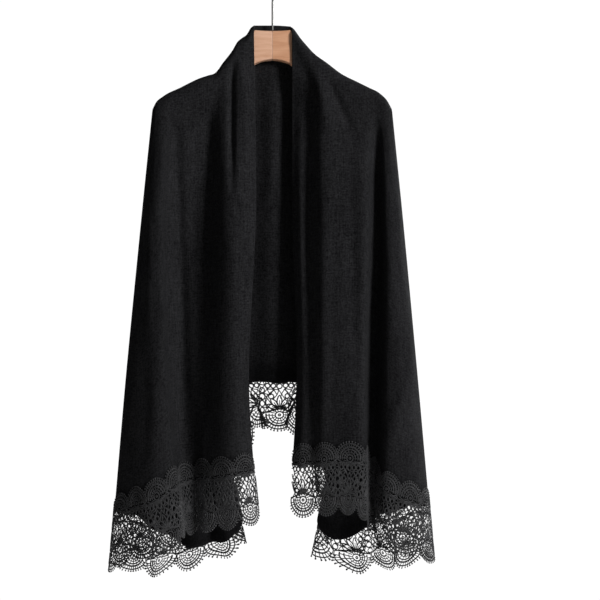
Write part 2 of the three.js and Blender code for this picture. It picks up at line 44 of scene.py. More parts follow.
# Driving sizes in millimetres, those of the part or close to them
CLOTH = 1.8
SEAM = 0.3
LACE_FREE = 73
SCALLOP = 20
LACE_ON = 12
LACE_ARCH = 28
BREAST, HIP, KNEE = -450, -760, -1000
FRONT_REPEATS, BACK_REPEATS = 8, 20
REPEAT = 54.0
HEM_LEAN = 0.6
HEM_LEAN_MOST = 0.6
EASE = 6
WOOD_TOP, WOOD_RISE, WOOD_MIDDLE, WOOD_SHOULDER, WOOD_SHOULDER_END = -107, 1.5, 33, 1.05, 30
WOOD_HALF, WOOD_TIP, WOOD_FORWARD, WOOD_REACH = 10, 14.5, 26, 213
WOOD_REST, WOOD_BRIDGE = 0.9, 3
WOOD_CLEAR = 3.0
WOOD_SLIM, WOOD_SINK = 2.2, 1.6
WIRE_RADIUS, WIRE_BEND = 1.8, 22
COLLAR_HALF, COLLAR_Y = 34, 13.5

# Height of the shawl's ridge behind the neck, and along each arm: (x, z) from the neck to the tip
NECK = -94.0
RIDGE_LEFT = [(34, -94), (41, -100), (47, -111), (57, -120), (66, -129), (72, -140), (91, -166),
              (105, -185), (118, -190), (132, -195), (169, -214), (200, -231), (213, -243),
              (220, -257)]
RIDGE_RIGHT = [(34, -96), (41, -103), (47, -112), (53, -121), (61, -131), (75, -147), (101, -167),
               (125, -186), (158, -204), (177, -214), (198, -226), (211, -240), (220, -257)]

# The folds in order round the shawl, the part's own ones with small changes. side is -1 in front of
# the arm and 1 behind, x0 the place on the ridge, x1 y1 at the breast, x2 y2 at the hip, x3 y3 at the
# knee, hem the cloth's edge, and free the lace that hangs below it
Fold = namedtuple("Fold", "name side x0 x1 y1 x2 y2 x3 y3 hem free")
FOLDS = [Fold(*row) for row in (
    ("left edge", -1, -34, -30, -24, -42, -34, -26, -38, -919, LACE_FREE),
    ("left roll", -1, -46, -42, -36, -52, -48, -37, -50, -920, LACE_FREE),
    ("left ridge", -1, -70, -67, -44, -65, -58, -58, -60, -922, LACE_FREE),
    ("left hollow", -1, -101, -104, -30, -102, -46, -97, -52, -930, LACE_FREE),
    ("left flank", -1, -128, -127, -24, -125, -36, -122, -44, -934, LACE_FREE),
    ("left valley", -1, -156, -158, -12, -156, -12, -141, -20, -938, LACE_FREE),
    ("left crest back", -1, -176, -187, -26, -181, -26, -160, -34, -942, LACE_FREE),
    ("left crest", -1, -189, -200, -50, -192, -62, -170, -74, -945, LACE_FREE),
    ("left outer", -1, -200, -216, -50, -212, -68, -204, -80, -966, LACE_FREE),
    ("left shoulder", -1, -212, -230, -34, -243, -46, -251, -57, -984, LACE_FREE),
    ("left side", 0, -219, -241, -10, -271, -14, -291, -16, -991, 88),
    ("back 1", 1, -214, -233, 16, -263, 22, -284, 24, -1003, 88),
    ("back 2", 1, -202, -214, 40, -240, 56, -256, 66, -1014, 86),
    ("back 3", 1, -187, -193, 26, -213, 32, -222, 36, -1036, 72),
    ("back 4", 1, -170, -173, 46, -188, 64, -190, 76, -1055, 50),
    ("back 5", 1, -153, -155, 28, -166, 36, -158, 42, -1070, 24),
    ("back 6", 1, -136, -138, 44, -146, 58, -122, 70, -1064, 14),
    ("back 7", 1, -119, -122, 28, -127, 34, -90, 42, -1054, 10),
    ("back 8", 1, -102, -107, 38, -113, 47, -62, 54, -1016, 18),
    ("back 9", 1, -86, -92, 29, -106, 51, -92, 73, -950, 46),
    ("back 10", 1, -70, -76, 38, -95, 61, -88, 88, -850, 60),
    ("back 11", 1, -54, -58, 29, -73, 50, -70, 72, -770, LACE_FREE),
    ("back 12", 1, -32, -35, 36, -41, 46, -40, 54, -759, LACE_FREE),
    ("centre back", 1, 0, 0, 24, 0, 30, 0, 40, -758, LACE_FREE),
    ("back 13", 1, 32, 35, 35, 42, 45, 42, 54, -759, LACE_FREE),
    ("back 14", 1, 54, 58, 28, 76, 50, 76, 72, -768, LACE_FREE),
    ("back 15", 1, 72, 80, 39, 103, 60, 99, 88, -840, 60),
    ("back 16", 1, 90, 102, 30, 125, 52, 115, 72, -936, 46),
    ("back 17", 1, 108, 118, 38, 137, 44, 88, 49, -1020, 24),
    ("back 18", 1, 124, 134, 28, 148, 34, 108, 44, -1046, 24),
    ("back 19", 1, 140, 150, 44, 162, 58, 142, 66, -1057, 42),
    ("back 20", 1, 156, 166, 28, 180, 36, 172, 40, -1034, 66),
    ("back 21", 1, 172, 182, 46, 198, 62, 200, 74, -1014, 84),
    ("back 22", 1, 187, 199, 26, 220, 34, 228, 38, -1002, 92),
    ("back 23", 1, 201, 214, 40, 241, 54, 256, 62, -994, 90),
    ("back 24", 1, 212, 229, 14, 260, 20, 280, 20, -988, 86),
    ("right side", 0, 219, 240, -8, 269, -12, 290, -16, -982, 84),
    ("right outer", -1, 210, 226, -34, 244, -52, 258, -66, -974, LACE_FREE),
    ("right rise", -1, 200, 207, -34, 208, -50, 203, -60, -953, LACE_FREE),
    ("right valley", -1, 190, 196, -14, 190, -18, 187, -26, -936, LACE_FREE),
    ("right crest back", -1, 182, 184, -26, 176, -32, 175, -40, -920, LACE_FREE),
    ("right crest", -1, 168, 173, -48, 166, -66, 167, -76, -902, LACE_FREE),
    ("right panel", -1, 126, 134, -46, 125, -62, 128, -70, -898, LACE_FREE),
    ("right rise in", -1, 88, 89, -40, 92, -54, 92, -58, -902, LACE_FREE),
    ("right hollow", -1, 71, 70, -22, 75, -40, 73, -50, -904, LACE_FREE),
    ("right roll", -1, 52, 52, -40, 56, -48, 51, -50, -906, LACE_FREE),
    ("right edge", -1, 36, 37, -24, 44, -34, 31, -38, -907, LACE_FREE),
)]
NAMES = [f.name for f in FOLDS]
LEFT_SIDE = NAMES.index("left side")
RIGHT_SIDE = NAMES.index("right side")

# Creases run from x, z to x_end, z_end and press in by deep over wide, or stand out where deep is below 0.
# front says whether a crease lies on the fronts or on the back, and the first MAIN_CREASES are the largest
MAIN_CREASES = 7
Crease = namedtuple("Crease", "front x z x_end z_end wide deep")
CREASES = [Crease(*row) for row in (
    (True, -112, -160, -116, -620, 13, 13),
    (True, -132, -190, -124, -1030, 25, 22),
    (True, -181, -215, -160, -1030, 14, 19),
    (True, -74, -124, -73, -410, 6, 11),
    (True, 44, -128, 44, -990, 24, 30),
    (True, 68, -160, 68, -960, 14, 5),
    (True, 192, -270, 175, -980, 12, 14),
    (True, 62, -104, 104, -300, 15, -10),
    (True, -56, -112, -46, -330, 9, -5),
    (True, 92, -170, 146, -300, 9, 5),
    (True, 84, -158, 160, -255, 8, 3),
    (True, -150, -206, -176, -330, 12, 3),
    (True, -205, -240, -224, -470, 9, 3.5),
    (True, -216, -560, -232, -900, 14, 5),
    (True, 112, -420, 106, -880, 12, 3),
    (True, 146, -300, 150, -760, 11, 3.5),
    (True, 268, -690, 208, -880, 16, -6),
    (True, -34, -300, -50, -640, 6, 2.5),
    (False, -40, -130, -70, -330, 12, 5),
    (False, 46, -134, 86, -350, 12, 5),
    (False, 0, -130, 4, -420, 16, 3),
    (False, -176, -240, -200, -640, 13, -4),
    (False, 150, -230, 190, -600, 14, 4),
    (False, 232, -420, 246, -900, 11, 4),
    (False, -236, -520, -240, -940, 12, 4),
)]

# How far the cloth's small unevenness stands up
RIPPLE = 0.9

# Creases fade out over SEAM_FADE towards the side seams and over RIDGE_FADE below the ridge. The cloth is
# kept in front of the wood down to WOOD_FADE[0] below it, and is free of it WOOD_FADE[1] below it
SEAM_FADE = 30.0
RIDGE_FADE = (12.0, 60.0)
WOOD_FADE = (8, 70)
WOOD_FREE_X = (190, WOOD_REACH + 8)


def through(ts, vs, t):
    """Smooth curve through (ts, vs), knots on the last axis: cubic Hermite pieces whose slope at a
    knot is the mean of its two chords' slopes, each weighted by the other chord's length; at the
    ends the slope is the chord's, and past the ends the curve runs on straight."""
    ts, vs, t = np.asarray(ts, float), np.asarray(vs, float), np.asarray(t, float)
    shape = np.broadcast_shapes(ts.shape[:-1], vs.shape[:-1], t.shape)
    n = ts.shape[-1]
    ts = np.broadcast_to(ts, shape + (n,))
    vs = np.broadcast_to(vs, shape + (n,))
    t = np.broadcast_to(t, shape)
    gap = np.diff(ts)
    chord = np.diff(vs) / gap
    before, after = gap[..., :-1], gap[..., 1:]
    inner = (chord[..., :-1] * after + chord[..., 1:] * before) / (after + before)
    slope = np.concatenate([chord[..., :1], inner, chord[..., -1:]], axis=-1)
    i = np.sum(t[..., None] > ts[..., 1:-1], axis=-1)[..., None]

    def take(values, k):
        return np.take_along_axis(values, k, -1)[..., 0]

    h = take(gap, i)
    s = (t - take(ts, i)) / h
    s_in = np.clip(s, 0, 1)
    s2, s3 = s_in ** 2, s_in ** 3
    value = (take(vs, i) * (2 * s3 - 3 * s2 + 1) + take(slope, i) * h * (s3 - 2 * s2 + s_in)
             + take(vs, i + 1) * (3 * s2 - 2 * s3) + take(slope, i + 1) * h * (s3 - s2))
    past = s - s_in
    return value + past * h * np.where(past < 0, take(slope, i), take(slope, i + 1))


def mix(a, b, t):
    return a + (b - a) * t


def ease01(v, low, high):
    t = np.clip((v - low) / (high - low), 0, 1)
    return t * t * (3 - 2 * t)


def ridge_z(x):
    """Height of the ridge over x: the side's table as a smooth curve, level behind the neck."""
    out = np.abs(x)
    result = np.zeros_like(out)
    for sign, table in ((-1, RIDGE_LEFT), (1, RIDGE_RIGHT)):
        xs, zs = np.array(table, float).T
        neck = mix(NECK, zs[0], (out / xs[0]) ** 2)
        side = np.where(out <= xs[0], neck, through(xs, zs, out))
        result = np.where(np.sign(x) == sign, side, result)
    return np.where(x == 0, NECK, result)


def arm_y(x):
    """The arms bend forward towards the tips by the 1.5th power of the distance."""
    return -WOOD_FORWARD * np.clip((np.abs(x) - 30) / (WOOD_REACH - 30), 0, 1.1) ** 1.5


def arm_half(x):
    return mix(WOOD_HALF, WOOD_TIP, np.clip((np.abs(x) - 34) / 130, 0, 1))


def ridge_y(x):
    return mix(COLLAR_Y, arm_y(x), ease01(np.abs(x), COLLAR_HALF, 64))


def roll(x):
    """How far the cloth stands off the ridge's line once it has rolled over the arm, round at the tip."""
    tip = np.clip((np.abs(x) - 186) / 34, 0, 1)
    slack = EASE * np.clip((np.abs(x) - 34) / 40, 0, 1)
    return (arm_half(x) + 2 + 1.2 + slack) * np.sqrt(1 - tip * tip)


def fold_lines():
    """Each fold's own line down the shawl as knots of depth, x and y, and its top."""
    tops = np.array([float(ridge_z(np.array(float(f.x0)))) for f in FOLDS])
    zs = np.array([[-top, -BREAST, -HIP, -KNEE] for top in tops])
    xs = np.array([[f.x0, f.x1, f.x2, f.x3] for f in FOLDS], float)
    ys = []
    for f in FOLDS:
        x = np.array(float(f.x0))
        behind_neck = f.side > 0 and abs(f.x0) < 60
        start = COLLAR_Y if behind_neck else float(arm_y(x) + f.side * roll(x))
        ys.append([max(start, 2) if f.side > 0 else start, f.y1, f.y2, f.y3])
    return tops, zs, xs, np.array(ys, float)


TOPS, LINE_Z, LINE_X, LINE_Y = fold_lines()


def places_along():
    """Place of each fold along the hem: distances from fold to fold, part hip and part knee."""
    place = [0.0]
    for p, q in zip(FOLDS, FOLDS[1:]):
        hip = np.hypot(q.x2 - p.x2, q.y2 - p.y2)
        knee = np.hypot(q.x3 - p.x3, q.y3 - p.y3)
        low = min(p.hem, q.hem) < -850
        place.append(place[-1] + (mix(hip, knee, 0.7) if low else hip))
    return np.array(place)


ALONG = places_along()
HEMS = np.array([f.hem for f in FOLDS], float)
FREES = np.array([f.free for f in FOLDS], float)
X0 = np.array([f.x0 for f in FOLDS], float)


def hem_z(a):
    return through(ALONG, HEMS, a)


def free_at(a):
    """How far the lace hangs below the cloth's edge, at a notch."""
    return through(ALONG, FREES, a)


def four_near(a):
    i = np.clip(np.searchsorted(ALONG, a, side="left") - 1, 0, len(ALONG) - 2)
    first = np.clip(i - 1, 0, len(ALONG) - 4)
    return first[..., None] + np.arange(4)


def top_at(a):
    four = four_near(a)
    x0 = through(ALONG[four], X0[four], a)
    return x0, ridge_z(x0)


def ripple(a, z):
    """The cloth's small unevenness: a few long, slow waves that don't repeat together."""
    return (np.sin(a / 23.0 + 2.1 * np.sin(z / 190.0)) * np.sin(z / 83.0 + a / 61.0)
            + 0.6 * np.sin(a / 11.3 + z / 140.0) * np.sin(z / 47.0 - a / 37.0)
            + 0.35 * np.sin(a / 6.1 - z / 71.0) * np.sin(z / 29.0 + 1.3))


def shawl(a, z, fine=True):
    """A point of the shawl's outer face for place a along the hem and height z. Each fold has a line
    x(z), y(z); the sheet is the smooth curve across the four nearest folds at that height. Near the
    top it rolls over the arm by a quarter ellipse, y = ridge + (y - ridge) sqrt(1 - (1 - drop)^2).
    Creases press in by deep exp(-(off / wide)^2) sqrt(sin(pi t)). In front of the wood the sheet stays
    clear of it: what is over the limit comes off by (over + sqrt(over^2 + 9)) / 2."""
    a, z = np.broadcast_arrays(np.asarray(a, float), np.asarray(z, float))
    four = four_near(a)
    places = ALONG[four]
    x0, top = top_at(a)
    above = z > BREAST
    share = np.where(above, np.clip((top - z) / (top - BREAST), 0, 1), 1.0)
    height = np.where(above[..., None], mix(TOPS[four], BREAST, share[..., None]), z[..., None])
    x = through(places, through(LINE_Z[four], LINE_X[four], -height), a)
    y = through(places, through(LINE_Z[four], LINE_Y[four], -height), a)
    front = (a < ALONG[LEFT_SIDE]) | (a > ALONG[RIGHT_SIDE])
    from_seam = np.minimum(np.abs(a - ALONG[LEFT_SIDE]), np.abs(a - ALONG[RIGHT_SIDE]))
    loose = ease01(from_seam, 0.0, SEAM_FADE) * ease01(top - z, *RIDGE_FADE)
    for c in CREASES if fine else CREASES[:MAIN_CREASES]:
        t = np.clip((z - c.z) / (c.z_end - c.z), 0, 1)
        off = (x - mix(c.x, c.x_end, t)) / c.wide
        press = c.deep * np.exp(-off * off) * np.sin(pi * t) ** 0.5
        y = y + np.where(front == c.front, press if c.front else -press, 0.0) * loose
    if fine:
        side = np.where(front, -1.0, 1.0)
        y = y + RIPPLE * loose * side * ripple(a, z)
    tall = wood_tall(x)
    near_wood = 1 - ease01(top - z, tall + WOOD_FADE[0], tall + WOOD_FADE[1])
    held = front * near_wood * (1 - ease01(np.abs(x), *WOOD_FREE_X))
    over = y - (arm_y(x) - arm_half(x) - WOOD_CLEAR)
    y = y - held * (over + np.sqrt(over * over + 9)) / 2
    drop = np.clip((top - z) / (1.1 * roll(x0) + 3), 0, 1)
    rolled = np.sqrt(1 - (1 - drop) ** 2)
    return np.stack([x, mix(ridge_y(x0), y, rolled), np.minimum(z, top)], axis=-1)


def outward(a, z, step=1.2):
    """The way out of the cloth: the cross product of its two directions."""
    across = shawl(a + step, z) - shawl(a - step, z)
    up = shawl(a, z + step) - shawl(a, z - step)
    n = np.cross(up, across)
    return n / np.maximum(np.linalg.norm(n, axis=-1, keepdims=True), 1e-9)


def hang(a):
    """The direction that the free lace hangs in, in the sheet: it leans with the hem's slope."""
    reach = 45.0
    slope = (hem_z(a + reach) - hem_z(a - reach)) / (2 * reach)
    lean = np.clip(HEM_LEAN * np.arctan(slope), -HEM_LEAN_MOST, HEM_LEAN_MOST)
    return np.sin(lean), np.cos(lean)


def new_piece(name, points, faces, material, replaces, uv=None):
    """A smooth mesh object at the origin from points in millimetres and a list of faces."""
    mesh = bpy.data.meshes.new(name)
    mesh.from_pydata((np.asarray(points) * MM).tolist(), [], faces)
    mesh.polygons.foreach_set("use_smooth", np.ones(len(mesh.polygons), bool))
    if uv is not None:
        layer = mesh.uv_layers.new(name="UVMap")
        loops = np.empty(len(mesh.loops), np.int32)
        mesh.loops.foreach_get("vertex_index", loops)
        layer.data.foreach_set("uv", np.asarray(uv, np.float32)[loops].ravel())
    mesh.validate()
    mesh.materials.append(material)
    obj = bpy.data.objects.new(name, mesh)
    bpy.context.collection.objects.link(obj)
    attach(obj, "root")
    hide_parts(*replaces)
    return obj


def grid_faces(cols, rows):
    """Quads of a grid stored column by column, facing out where rows run down."""
    p = (np.arange(cols - 1)[:, None] * rows + np.arange(rows - 1)[None, :]).ravel()
    return np.stack([p, p + rows, p + rows + 1, p + 1], axis=1).tolist()


def tube_faces(rings, sides):
    """Quads between closed rings of points, and one flat face at each end."""
    ring, side = np.arange(rings - 1)[:, None] * sides, np.arange(sides)[None, :]
    base, nxt = ring + side, ring + (side + 1) % sides
    faces = np.stack([base, nxt, nxt + sides, base + sides], axis=-1).reshape(-1, 4).tolist()
    faces.append(list(range(sides))[::-1])
    faces.append(list(range((rings - 1) * sides, rings * sides)))
    return faces


class Socket:
    """A shader value, so that node maths reads as Python."""

    def __init__(self, tree, link):
        self.tree, self.link = tree, link

    def _math(self, operation, *values):
        node = self.tree.nodes.new("ShaderNodeMath")
        node.operation = operation
        for slot, value in zip(node.inputs, values):
            if isinstance(value, Socket):
                self.tree.links.new(value.link, slot)
            else:
                slot.default_value = value
        return Socket(self.tree, node.outputs[0])

    def __add__(self, other):
        return self._math("ADD", self, other)

    def __radd__(self, other):
        return self._math("ADD", other, self)

    def __sub__(self, other):
        return self._math("SUBTRACT", self, other)

    def __rsub__(self, other):
        return self._math("SUBTRACT", other, self)

    def __mul__(self, other):
        return self._math("MULTIPLY", self, other)

    def __rmul__(self, other):
        return self._math("MULTIPLY", other, self)

    def __truediv__(self, other):
        return self._math("DIVIDE", self, other)

    def __abs__(self):
        return self._math("ABSOLUTE", self)

    def __mod__(self, other):
        return self._math("FRACT", self / other) * other

    def sin(self):
        return self._math("SINE", self)

    def clamp(self):
        return self._math("MINIMUM", self._math("MAXIMUM", self, 0.0), 1.0)


class Finish:
    """A material with one Principled shader and a short way to add nodes."""

    def __init__(self, name, **values):
        self.material = bpy.data.materials.new(name)
        self.material.use_nodes = True
        self.tree = self.material.node_tree
        self.shader = next(n for n in self.tree.nodes if n.type == "BSDF_PRINCIPLED")
        for key, value in values.items():
            self.shader.inputs[key.replace("_", " ")].default_value = value

    def node(self, kind, settings=None, out=0, **inputs):
        made = self.tree.nodes.new(kind)
        for key, value in (settings or {}).items():
            if key == "stops":
                ramp = made.color_ramp
                while len(ramp.elements) < len(value):
                    ramp.elements.new(0.5)
                for element, (place, colour) in zip(ramp.elements, value):
                    element.position = place
                    element.color = (*colour, 1)
            else:
                setattr(made, key, value)
        for key, value in inputs.items():
            numbered = key[0] == "i" and key[1:].isdigit()
            slot = made.inputs[int(key[1:]) if numbered else key]
            if isinstance(value, Socket):
                self.tree.links.new(value.link, slot)
            else:
                slot.default_value = value
        return Socket(self.tree, made.outputs[out])

    def feed(self, name, socket):
        self.tree.links.new(socket.link, self.shader.inputs[name])

    def bump(self, height, distance, strength=1.0):
        bumped = self.node("ShaderNodeBump", Height=height, Distance=distance, Strength=strength)
        self.feed("Normal", bumped)

    def uv(self):
        place = self.node("ShaderNodeTexCoord", out=2)
        return [self.node("ShaderNodeSeparateXYZ", out=k, Vector=place) for k in (0, 1)]

    def here(self, scale=(1, 1, 1), turn=(0, 0, 0)):
        place = self.node("ShaderNodeTexCoord", out=3)
        return self.node("ShaderNodeMapping", Vector=place, Scale=scale, Rotation=turn)

    def noise(self, vector, scale, detail=3.0, rough=0.55):
        return self.node("ShaderNodeTexNoise", Vector=vector, Scale=scale, Detail=detail, Roughness=rough)

    def blend(self, factor, first, second):
        return self.node("ShaderNodeMix", {"data_type": "RGBA"}, out=2, i0=factor,
                         i6=(*first, 1), i7=(*second, 1))


def knit_finish():
    """Fine black wool: rows of small V stitches, a soft nap and an uneven tone. The strip above the
    hem that the lace covers, up to 0.045 m by the UV's height, is darkened in the base colour as painted
    shade of the cords."""
    f = Finish("black fine knit", Roughness=0.88, Sheen_Weight=0.02, Sheen_Roughness=0.5,
               Sheen_Tint=(0.6, 0.6, 0.64, 1), Specular_IOR_Level=0.02)
    u, v = f.uv()
    stitch_wide, stitch_tall, slope = 0.0016, 0.0021, 0.0018
    wale = (u * (2 * pi / stitch_wide)).sin()
    slant = abs(((u / stitch_wide) % 1.0) - 0.5)
    course = ((v + slant * slope) * (2 * pi / stitch_tall)).sin()
    nap = f.noise(f.here(), 900.0, 4.0)
    cloud = f.noise(f.here(), 9.0, 3.0)
    slub = f.noise(f.node("ShaderNodeCombineXYZ", X=u * 70.0, Y=v * 420.0), 1.0, 3.0)
    rib = f.noise(f.node("ShaderNodeCombineXYZ", X=u * 520.0, Y=v * 30.0), 1.0, 2.0)
    stitch = wale * 0.5 + course * 0.5
    f.bump(stitch * 0.5 + nap * 1.2 + slub * 0.8 + rib * 0.6, 0.0009, 0.6)
    grain = f.noise(f.here(), 330.0, 2.0, 0.6)
    uneven = (cloud - 0.5) * 0.5 + (grain - 0.5) * 1.5 + (slub - 0.5) * 1.0 + (rib - 0.5) * 0.9
    tone = (uneven + stitch * 0.06 + 0.5).clamp()
    # Painted shade: the base colour drops to 0.4 in the strip under the lace, standing in for the cords'
    # shadow on the knit
    shade = ((v - 0.020) * 40.0).clamp() * 0.6 + 0.4
    f.feed("Base Color", f.blend(tone * shade, (0.003, 0.003, 0.0034), (0.0260, 0.0260, 0.0278)))
    f.feed("Roughness", (nap * 0.25 + 0.72).clamp())
    return f.material


def lace_finish():
    """Black corded guipure: thread wound round a cord, a little glossy on its ridges."""
    f = Finish("black guipure cord", Roughness=0.6, Sheen_Weight=0.05, Sheen_Roughness=0.4,
               Sheen_Tint=(0.6, 0.6, 0.63, 1), Specular_IOR_Level=0.4)
    u, v = f.uv()
    turn_apart = 0.0009
    wrap = ((u + v * 0.0012) * (2 * pi / turn_apart)).sin()
    fuzz = f.noise(f.here(), 1400.0, 3.0)
    f.bump(wrap * 0.5 + fuzz * 0.6, 0.0003, 0.7)
    worn = f.noise(f.here(), 150.0, 2.0)
    tone = ((fuzz - 0.5) * 0.8 + (worn - 0.5) * 2.0 + wrap * 0.1 + 0.45).clamp()
    f.feed("Base Color", f.blend(tone, (0.010, 0.010, 0.0108), (0.046, 0.046, 0.049)))
    f.feed("Roughness", (0.45 + fuzz * 0.3).clamp())
    return f.material


def wood_finish(name, turn, tint):
    """Pale reddish beech: long grain streaks, small dark flecks and a satin varnish."""
    f = Finish(name, Roughness=0.42, Coat_Weight=0.25, Coat_Roughness=0.3)
    grain_place = f.here(scale=(22.0, 22.0, 190.0), turn=(0, turn, 0))
    grain = f.noise(grain_place, 1.0, 5.0, 0.6)
    band = f.noise(f.here(scale=(10.0, 10.0, 60.0), turn=(0, turn, 0)), 1.0, 2.0)
    fleck = f.noise(f.here(scale=(260.0, 260.0, 1500.0), turn=(0, turn, 0)), 1.0, 2.0)
    dark = (0.8 * tint[0], 0.7 * tint[1], 0.62 * tint[2])
    tone = ((grain - 0.5) * 2.2 + (band - 0.5) * 1.2 + 0.62).clamp()
    f.feed("Base Color", f.blend(tone, dark, tint))
    f.feed("Roughness", (0.36 + fleck * 0.18).clamp())
    f.bump(grain * 0.6 + fleck * 0.4, 0.0002, 0.35)
    return f.material


def wire_finish():
    """Drawn steel gone a little dull, with faint lengthwise scratches."""
    f = Finish("steel wire", Metallic=0.75, Roughness=0.45)
    scratch = f.noise(f.here(scale=(900.0, 900.0, 60.0)), 1.0, 2.0)
    f.feed("Base Color", f.blend(scratch, (0.1, 0.1, 0.098), (0.17, 0.17, 0.165)))
    f.feed("Roughness", (0.36 + scratch * 0.2).clamp())
    return f.material


KNIT = knit_finish()
GUIPURE = lace_finish()
# Both arms are the same beech: the left arm's paler tint is painted light and the right arm's darker, redder
# tint painted shade, as from a lamp on the right
WOOD_LEFT_PAINTED_LIGHT = wood_finish("beech left painted light", 0.62, (0.74, 0.445, 0.3))
WOOD_RIGHT_PAINTED_SHADE = wood_finish("beech right painted shade", -0.5, (0.66, 0.36, 0.215))
WIRE = wire_finish()


OVER_ARM, OVER_ROWS = 28.0, 16  # the part of the cloth that rolls over the arm, and its rows


def cloth_stretch(name, start, stop, cols, rows, replaces):
    """A grid of the shawl's sheet: columns even along the hem, rows close together over the arm and
    even below it, down to the hem. The wall's thickness is a Solidify modifier, inwards."""
    a = np.linspace(start, stop, cols)
    top = top_at(a)[1]
    hem = hem_z(a)
    over = OVER_ARM * (1 - np.cos(np.linspace(0, pi / 2, OVER_ROWS)))
    fall = np.linspace(0, 1, rows - OVER_ROWS + 1)[1:]
    z_over = top[:, None] - over[None, :]
    z_fall = mix(z_over[:, -1:], hem[:, None], fall[None, :])
    z = np.concatenate([z_over, z_fall], axis=1)
    aa = np.broadcast_to(a[:, None], z.shape)
    points = shawl(aa, z)
    uv = np.stack([aa * MM, (z - hem[:, None]) * MM], axis=-1).reshape(-1, 2)
    faces = grid_faces(cols, z.shape[1])
    piece = new_piece(name, points.reshape(-1, 3), faces, KNIT, replaces, uv=uv)
    wall = piece.modifiers.new("wall", "SOLIDIFY")
    wall.thickness = CLOTH * MM
    wall.offset = -1.0
    wall.use_rim = True
    return piece


# The lace's pattern: cords drawn in one repeat, u across and v up from the cloth's edge. Each edge
# is a row of round scallops of radius ROUND, whose picots' tips reach the edge's own line.
Cord = namedtuple("Cord", "points width")
BOLD, FULL, THIN = 3.4, 2.6, 1.8
MID = REPEAT / 2
ROUND = 31.0
RIM, BAND, EYE = 26.3, 20.2, 6.4
NET_CORD = 2.0
LOW_CENTRE = ROUND - LACE_FREE - SCALLOP
HIGH_CENTRE = LACE_ON + LACE_ARCH - ROUND


def arc(cx, cy, rx, ry, start, stop, n):
    t = np.radians(np.linspace(start, stop, n))
    return np.stack([cx + rx * np.cos(t), cy + ry * np.sin(t)], axis=1)


def leaf(cx, cy, length, width, tilt, n=11):
    """A closed leaf outline: (l cos t, w sin t |sin t|^0.4), turned by tilt degrees from upright."""
    t = np.linspace(0, 2 * pi, n)
    along, across = length / 2 * np.cos(t), width / 2 * np.sin(t) * np.abs(np.sin(t)) ** 0.4
    c, s = np.cos(radians(tilt)), np.sin(radians(tilt))
    return np.stack([cx + across * c + along * s, cy + along * c - across * s], axis=1)


def bar(p, q):
    return np.array([p, q], float)


def scallop(cords, centre_v, sign):
    """A round scallop that faces up for sign 1 and down for -1: knobbed picots round a cord, a ladder
    of short bars, a bold band, and a fan of rings with spokes round a small eye."""
    centre = np.array([MID, centre_v])

    def at(radius, turn):
        return centre + radius * np.array([np.sin(turn), sign * np.cos(turn)])

    def ring(radius, reach, width, n):
        turns = np.radians(np.linspace(-reach, reach, n))
        cords.append(Cord(np.array([at(radius, turn) for turn in turns]), width))

    ring(RIM, 94, FULL, 23)
    ring(BAND, 97, BOLD, 19)
    ring(15.8, 100, FULL, 15)
    ring(11.2, 104, THIN, 11)
    for turn in np.radians(np.linspace(-78, 78, 16)):
        cords.append(Cord(bar(at(RIM, turn), at(29.4, turn)), THIN))
        cords.append(Cord(bar(at(29.1, turn), at(31.4, turn)), BOLD))
        cords.append(Cord(bar(at(20.5, turn), at(26.0, turn)), THIN))
    for turn in np.radians(np.linspace(-88, 88, 8)):
        cords.append(Cord(bar(at(6.6, turn), at(19.6, turn)), THIN))
    cords.append(Cord(arc(*centre, EYE, EYE, 0, 360, 13), FULL))
    cords.append(Cord(arc(*centre, 1.9, 1.9, 0, 360, 7), FULL))


def net(cords, keep_out):
    """A net of bars round rounded holes: a staggered lattice of nodes, each moved a little, that
    repeats across and is left out where the motifs lie: discs in keep_out, as u, v, radius and the
    heights between which the disc counts."""
    rng = np.random.default_rng(11)
    across, row_gap = 6, 8.6
    step = REPEAT / across
    rows = np.arange(-66, 30, row_gap)
    jitter = rng.uniform(-1.7, 1.7, (len(rows), across, 2))

    def node(r, c):
        jit = jitter[r, c % across]
        return np.array([(c + 0.5 * (r % 2)) * step + jit[0], rows[r] + jit[1]])

    for r in range(len(rows)):
        for c in range(across):
            ends = [node(r, c + 1)] if (r + 2 * c) % 3 else []
            if r + 1 < len(rows):
                ends += [node(r + 1, c), node(r + 1, c + (1 if r % 2 else -1))]
            here = node(r, c)
            for end in ends:
                u, v = (here + end) / 2
                apart = np.abs(u % REPEAT - keep_out[:, 0])
                apart = np.minimum(apart, REPEAT - apart)
                near = np.hypot(apart, v - keep_out[:, 1]) < keep_out[:, 2]
                if not np.any(near & (v > keep_out[:, 3]) & (v < keep_out[:, 4])):
                    cords.append(Cord(bar(here, end), NET_CORD))


def brow_height(share):
    """Height of the arched cord that closes a scallop, for a share of its half width from the middle."""
    return 1.5 + 9.5 * (1 - share ** 2)


